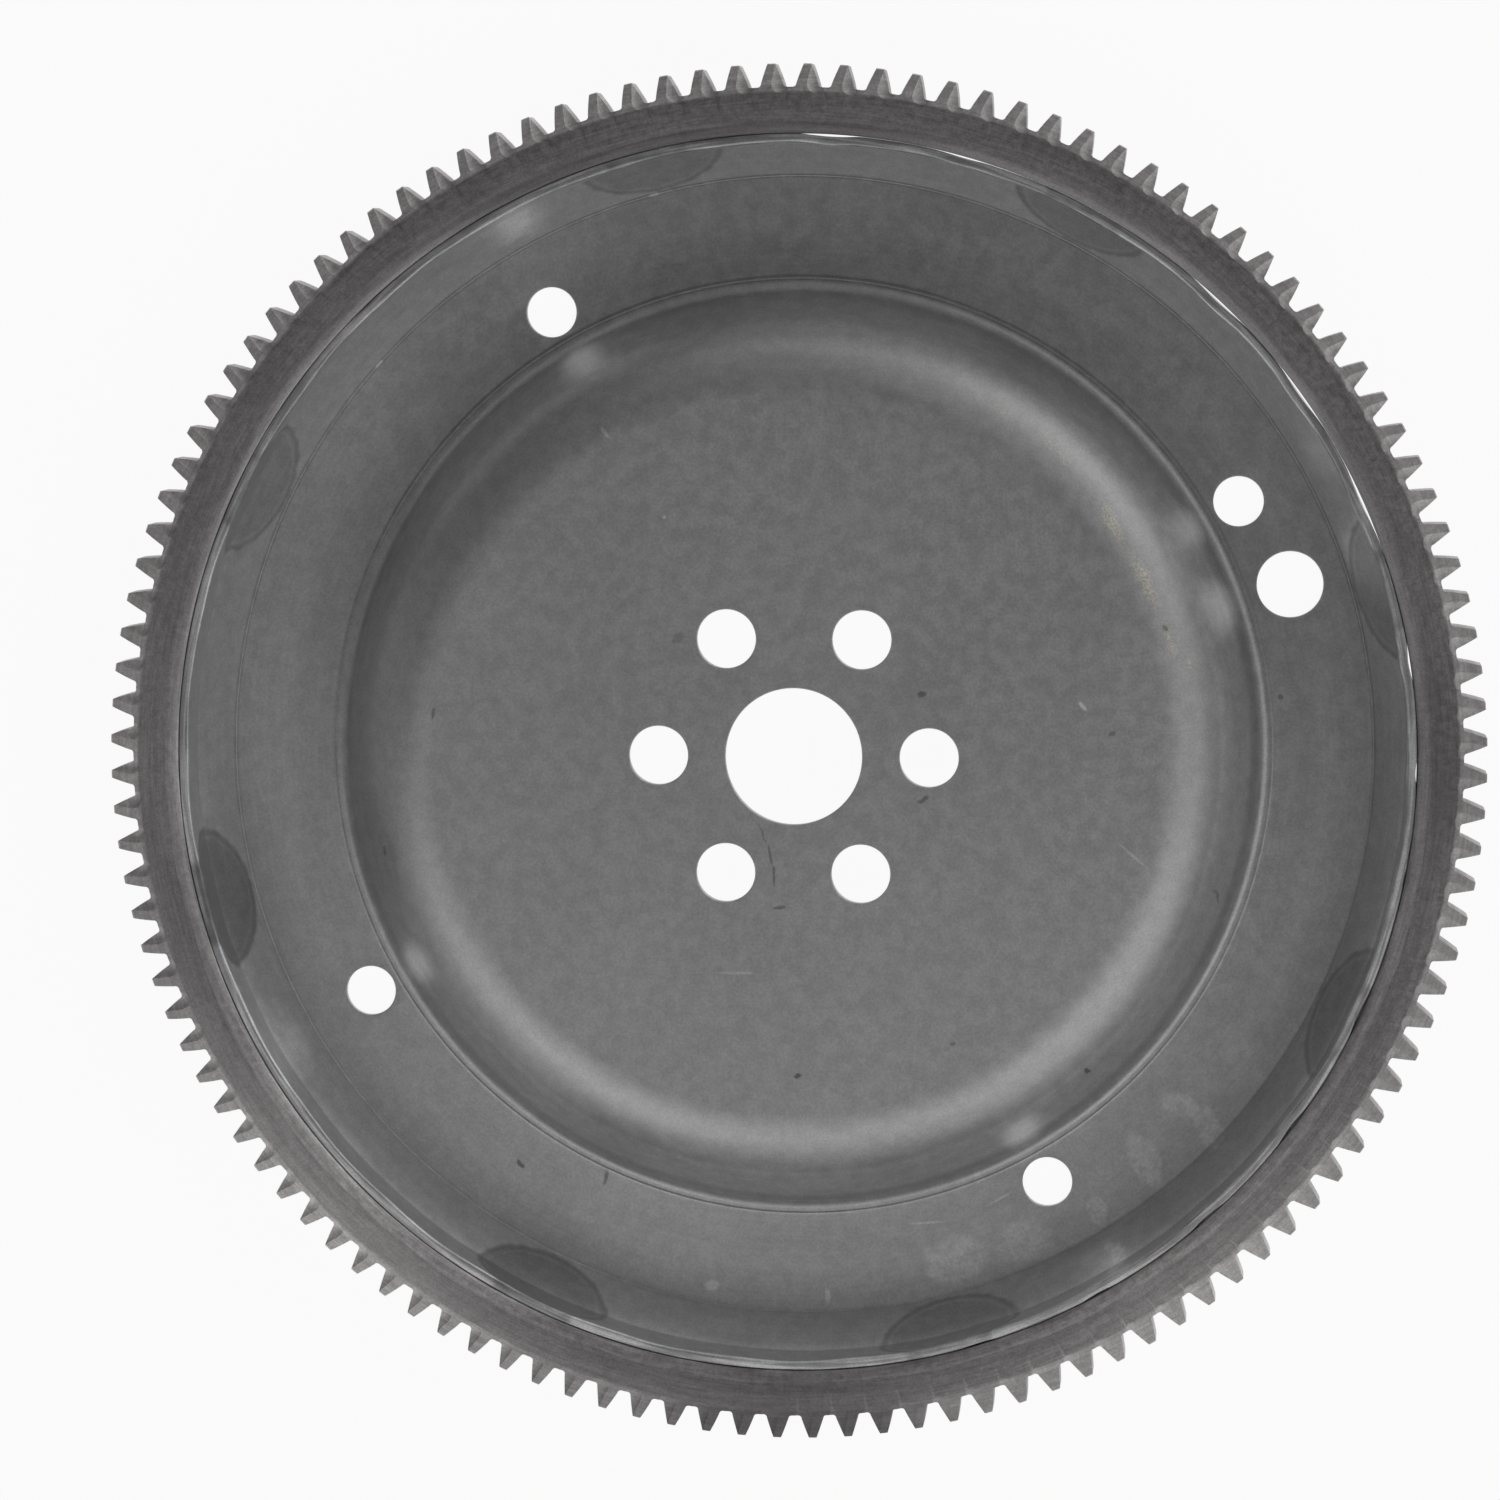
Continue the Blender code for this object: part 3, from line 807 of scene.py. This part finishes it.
def disc_steel():
    steel = Steel("drawn_sheet_steel", 0.8)
    tree, place, radius = steel.tree, steel.place, steel.radius
    heat = tree.nodes.new("ShaderNodeAttribute")
    heat.attribute_name = "heat_edge"
    edge = calc(tree, "MULTIPLY_ADD", speckle(tree, place, 3 * MM, 1.0), 0.9,
                calc(tree, "SUBTRACT", heat.outputs["Fac"], 0.45))
    inside = spread(tree, edge, -1.1, 0.7, 1.0, 0.0)
    deeper = spread(tree, spot(tree, place, *DEEP_HEAT), 0.5, 1.0, 1.35, 0.8)
    outline = between(tree, edge, -0.5, -0.3, 0.6)
    bright_ring = between(tree, edge, -1.6, -1.4, 0.5)
    mottle = speckle(tree, place, 3 * MM, 2.0)
    grain = speckle(tree, place, 0.45 * MM, 2.0)
    cloud = speckle(tree, place, 45 * MM, 1.0)
    drawn = speckle(tree, steel.along_rim(3.0, 9.0), 2.5 * MM, 2.0)
    uneven = warped(tree, place, 2.5 * MM, 1.6 * MM)
    smudge = times(tree, all_spots(tree, warped(tree, place, 7 * MM, 5 * MM), SMUDGES, 0.4),
                   spread(tree, speckle(tree, place, 1.3 * MM, 2.0), 0.35, 0.6, 0.45, 1.0))
    dark = all_spots(tree, uneven, DARK_MARKS, 0.5)
    light = all_spots(tree, place, LIGHT_MARKS, 0.5)
    # Painted reflections: soft light spots on the outer band
    glow = all_spots(tree, place, BAND_PAINTED_REFLECTIONS, 1.0)
    # Painted highlight: the shoulder's scratches made lighter and warm where the highlight runs along them
    scratch_highlight = times(tree, all_spots(tree, uneven, SCRATCH_HIGHLIGHTS, 0.8), spread(tree, grain, 0.4, 0.62, 0.2, 1.0))
    outer = spread(tree, radius, *DRAWN_FROM, 0.0, 1.0)
    # The lip's top is bare cut metal, made lighter and darker along the rim; its lighter parts are also a
    # painted highlight
    lip = spread(tree, steel.height, LIP_TOP - LIP_ROUND, LIP_TOP - LIP_BREAK, 0.0, 1.0)
    lip_edge_and_highlight = times(tree, lip, spread(tree, drawn, 0.38, 0.62, -0.32, 0.2))
    band = spread(tree, radius, BAND_FOOT_RADIUS - 0.2 * MM, BAND_FOOT_RADIUS + 0.4 * MM, 0.0, 1.0)
    # Painted shade in the crease at the band's foot, darker towards the top (+y)
    band_foot_shade = between(tree, radius, BAND_FOOT_RADIUS - 0.25 * MM, BAND_FOOT_RADIUS + 0.2 * MM, 0.4 * MM)
    # Painted light and shade on the crest's ring: lighter towards the bottom (-y), darker towards the top
    crest = times(tree, between(tree, radius, *CREST_LINE, 0.4 * MM),
                  spread(tree, steel.y, -60 * MM, 90 * MM, 0.12, -0.32))
    # Painted highlight on the fillet at the wall's foot
    fillet = between(tree, radius, *FILLET_LINE, 0.5 * MM)
    # Painted light on the collar's upper part, lighter towards the bottom (-y)
    collar = times(tree, band, spread(tree, steel.height, 10 * MM, 14 * MM, 0.0, 1.0),
                   spread(tree, steel.y, -60 * MM, 10 * MM, 1.0, 0.1))
    # Painted shade dimming the shoulder's highlight on the +x side
    shoulder = times(tree, between(tree, radius, *SHOULDER_LINE, 4 * MM),
                     spread(tree, steel.x, 0.0, 60 * MM, 0.0, 1.0))
    # Painted shade on the annulus next to the wall's foot
    near_wall_shade = between(tree, radius, *NEAR_WALL, 7 * MM)
    # Painted light on the wall, lighter on the side that faces towards -60 degrees
    toward = calc(tree, "MULTIPLY_ADD", steel.x, 0.5, calc(tree, "MULTIPLY", steel.y, -0.87))
    wall = times(tree, between(tree, radius, *WALL_LIGHT_RING, 1.5 * MM),
                 spread(tree, toward, -50 * MM, 60 * MM, 0.0, 1.0))
    level = times(
        tree, spread(tree, mottle, 0.3, 0.7, 0.94, 1.06), spread(tree, grain, 0.3, 0.7, 0.91, 1.09),
        spread(tree, cloud, 0.3, 0.7, 0.985, 1.015),
        factor_of(tree, times(tree, outer, spread(tree, drawn, 0.35, 0.65, -0.025, 0.025)), 1.0),
        factor_of(tree, scratch_highlight, 0.3),
        factor_of(tree, times(tree, inside, deeper), -0.34), factor_of(tree, outline, -0.18),
        factor_of(tree, bright_ring, 0.12), factor_of(tree, glow, 0.5),
        factor_of(tree, smudge, 0.26), factor_of(tree, dark, -0.55), factor_of(tree, light, 0.75),
        factor_of(tree, lip_edge_and_highlight, 1.0), factor_of(tree, band, 0.06),
        factor_of(tree, times(tree, band_foot_shade, spread(tree, steel.y, -70 * MM, 60 * MM, 0.2, 1.0)), -0.3),
        factor_of(tree, crest, 1.0), factor_of(tree, fillet, 0.12), factor_of(tree, wall, 0.26),
        factor_of(tree, collar, 0.3), factor_of(tree, shoulder, -0.16), factor_of(tree, near_wall_shade, -0.12))
    rough = calc(tree, "ADD", spread(tree, cloud, 0.3, 0.7, 0.41, 0.43),
                 spread(tree, mottle, 0.3, 0.7, 0.0, 0.03))
    rough = calc(tree, "MULTIPLY_ADD", inside, 0.1, rough)
    rough = calc(tree, "MULTIPLY_ADD", smudge, -0.05, rough)
    both = calc(tree, "MULTIPLY_ADD", mottle, 2.0, grain)
    # The grey turns warm under the painted scratch highlights
    colour = tinted(tree, scratch_highlight, DISC_COLOUR, SCRATCH_HIGHLIGHT_COLOUR)
    return steel.finish(colour, level, rough, bump(tree, both, 0.01 * MM, 0.7))


# The ring's large stretches painted lighter as light and its painted shades, then the painted shade on its
# lower teeth and on its bore edge, as above
RING_PAINTED_LIGHT = ((-102.0, -102.0, -45, 80.0, 40.0, 2.1), (90.0, -112.0, 39, 72.0, 40.0, 1.5),
                  (-142.0, 0.0, 90, 45.0, 30.0, 0.4))
# Painted shade: darker patches on the ring at the bottom and at the right
RING_SHADES = ((0.0, -144.0, 0, 34.0, 20.0, 1.0), (144.0, 0.0, 90, 34.0, 20.0, 1.0))
TOOTH_SHADE = (0.0, -150.0, 0, 42.0, 20.0)
BORE_SHADE = (-22.0, 136.0, 9, 85.0, 45.0)


def gear_steel():
    steel = Steel("ring_steel", 0.9)
    tree, place = steel.tree, steel.place
    turned = speckle(tree, steel.along_rim(5.0, 8.0), 1.6 * MM, 2.0)
    scaled = speckle(tree, steel.along_rim(2.2, 5.0), 3.2 * MM, 3.0, 0.6)
    blotch = speckle(tree, place, 1.6 * MM, 3.0, 0.6)
    grain = speckle(tree, place, 0.5 * MM, 2.0)
    tooth = spread(tree, steel.radius, FACE_EDGE_RADIUS - 0.4 * MM, FACE_EDGE_RADIUS + 0.5 * MM, 0.0, 1.0)
    # Painted shade on the teeth at the bottom (-y)
    shaded = times(tree, tooth, spread(tree, spot(tree, place, *TOOTH_SHADE), 0.4, 1.0, 1.0, 0.0))
    uneven = calc(tree, "MULTIPLY_ADD", calc(tree, "SUBTRACT", scaled, 0.5), 3 * MM, steel.radius)
    edge = RING_BORE_RADIUS
    # Painted light on the bore's dish, with ragged edges, lighter towards the bottom (-y)
    bore_dish_light = times(tree, between(tree, uneven, edge + 0.5 * MM, edge + 2.4 * MM, 0.7 * MM),
                 spread(tree, steel.y, -50 * MM, 70 * MM, 0.46, 0.0))
    # Painted shade on the bore's edge near the top, round BORE_SHADE
    bore_edge_shade = times(tree, spread(tree, steel.radius, edge + 1.8 * MM, edge + 2.8 * MM, 1.0, 0.0),
                 spread(tree, spot(tree, place, *BORE_SHADE), 0.4, 1.0, 1.0, 0.0))
    level = times(
        tree, spread(tree, blotch, 0.3, 0.7, 0.93, 1.07), spread(tree, grain, 0.3, 0.7, 0.9, 1.1),
        spread(tree, turned, 0.35, 0.65, 0.93, 1.07), spread(tree, scaled, 0.35, 0.65, 0.92, 1.08),
        # Painted light: large stretches of the ring lighter at the lower left, lower right and left
        factor_of(tree, all_spots(tree, place, RING_PAINTED_LIGHT, 1.0), 0.3),
        factor_of(tree, all_spots(tree, place, RING_SHADES, 1.0), -0.2),
        factor_of(tree, bore_dish_light, 1.0), factor_of(tree, bore_edge_shade, -0.45), factor_of(tree, shaded, -0.45),
        # The teeth are lighter machined metal, and painted lighter still towards the top (+y) as light
        factor_of(tree, times(tree, tooth, spread(tree, steel.y, -120 * MM, 0.0, 0.42, 0.64)), 1.0))
    relief = bump(tree, grain, 0.02 * MM, 0.8)
    relief = bump(tree, calc(tree, "ADD", turned, scaled), 0.04 * MM, 0.5, relief)
    rough = calc(tree, "MULTIPLY_ADD", tooth, 0.1, spread(tree, blotch, 0.3, 0.7, 0.42, 0.52))
    return steel.finish(RING_COLOUR, level, rough, relief)


def weld_metal():
    steel = Steel("weld_filler", 0.9)
    tree, place = steel.tree, steel.place
    blotch = speckle(tree, place, 2.5 * MM, 3.0)
    grain = speckle(tree, place, 0.4 * MM, 2.0)
    level = times(tree, spread(tree, blotch, 0.3, 0.7, 0.75, 1.2), spread(tree, grain, 0.3, 0.7, 0.9, 1.1))
    return steel.finish(BEAD_COLOUR, level, spread(tree, blotch, 0.3, 0.7, 0.36, 0.5),
                        bump(tree, grain, 0.03 * MM, 0.6))


# The stage: floor, backdrop, lights and camera

FLOOR_SIDE = 6.0
FLOOR_WHITE_SHARE = 0.94


def white_floor_material():
    """Near white to the camera and in reflections, with the object's shadow left on it."""
    material = bpy.data.materials.new("pale_floor")
    material.use_nodes = True
    tree = material.node_tree
    tree.nodes.clear()
    output = tree.nodes.new("ShaderNodeOutputMaterial")
    matt = tree.nodes.new("ShaderNodeBsdfDiffuse")
    matt.inputs["Color"].default_value = (0.8, 0.8, 0.8, 1)
    glow = tree.nodes.new("ShaderNodeEmission")
    glow.inputs["Strength"].default_value = 1.0
    rays = tree.nodes.new("ShaderNodeLightPath")
    seen = calc(tree, "MAXIMUM", rays.outputs["Is Camera Ray"],
                calc(tree, "MAXIMUM", rays.outputs["Is Glossy Ray"], rays.outputs["Is Transmission Ray"]))
    mix = tree.nodes.new("ShaderNodeMixShader")
    put(tree, mix.inputs[0], calc(tree, "MULTIPLY", seen, FLOOR_WHITE_SHARE))
    put(tree, mix.inputs[1], matt.outputs[0])
    put(tree, mix.inputs[2], glow.outputs[0])
    put(tree, output.inputs["Surface"], mix.outputs[0])
    return material


def make_stage():
    deselect_all()
    bpy.ops.mesh.primitive_plane_add(size=FLOOR_SIDE)
    floor = bpy.context.object
    floor.name = "floor"
    floor.data.materials.append(white_floor_material())


def make_world():
    world = bpy.data.worlds.new("studio")
    bpy.context.scene.world = world
    world.use_nodes = True
    tree = world.node_tree
    tree.nodes.clear()
    output = tree.nodes.new("ShaderNodeOutputWorld")
    soft = tree.nodes.new("ShaderNodeBackground")
    soft.inputs["Color"].default_value = (0.005, 0.005, 0.005, 1)
    white = tree.nodes.new("ShaderNodeBackground")
    rays = tree.nodes.new("ShaderNodeLightPath")
    white.inputs["Color"].default_value = (1, 1, 1, 1)
    mix = tree.nodes.new("ShaderNodeMixShader")
    put(tree, mix.inputs[0], rays.outputs["Is Camera Ray"])
    put(tree, mix.inputs[1], soft.outputs[0])
    put(tree, mix.inputs[2], white.outputs[0])
    put(tree, output.inputs["Surface"], mix.outputs[0])


# The light tent: for each square softbox its angle round the plate, its elevation and its power in watts
SOFTBOX_SIDE = 1.2
SOFTBOX_DISTANCE = 1.6
SOFTBOXES = (
    (0.0, 35.0, 2.45), (45.0, 12.0, 4.8), (45.0, 35.0, 2.1), (45.0, 58.0, 0.3), (90.0, 12.0, 1.65),
    (90.0, 45.0, 0.7), (135.0, 35.0, 0.35), (180.0, 12.0, 1.1), (225.0, 35.0, 2.75), (225.0, 58.0, 1.75),
    (270.0, 35.0, 1.8), (270.0, 58.0, 0.65), (315.0, 35.0, 4.45), (315.0, 58.0, 0.6),
)


def make_softbox(angle, elevation, power):
    name = f"softbox_{angle:.0f}_{elevation:.0f}"
    lamp = bpy.data.lights.new(name, "AREA")
    lamp.shape = "SQUARE"
    lamp.size = SOFTBOX_SIDE
    lamp.energy = power
    box = bpy.data.objects.new(name, lamp)
    turn = math.radians(angle)
    tilt = math.radians(elevation)
    place = Vector((math.cos(turn) * math.cos(tilt), math.sin(turn) * math.cos(tilt), math.sin(tilt)))
    box.location = place * SOFTBOX_DISTANCE
    box.rotation_euler = place.to_track_quat("Z", "Y").to_euler()
    bpy.context.collection.objects.link(box)


def make_camera():
    data = bpy.data.cameras.new("photo_camera")
    data.lens = LENS
    data.sensor_width = SENSOR
    camera = bpy.data.objects.new("photo_camera", data)
    camera.location = CAMERA_PLACE
    camera.rotation_euler = [math.radians(turn) for turn in CAMERA_TURN]
    bpy.context.collection.objects.link(camera)
    bpy.context.scene.camera = camera


make_disc(disc_steel())
make_ring(gear_steel())
make_beads(weld_metal())
make_stage()
make_world()
for softbox in SOFTBOXES:
    make_softbox(*softbox)
make_camera()
bpy.context.scene.view_settings.view_transform = "Standard"
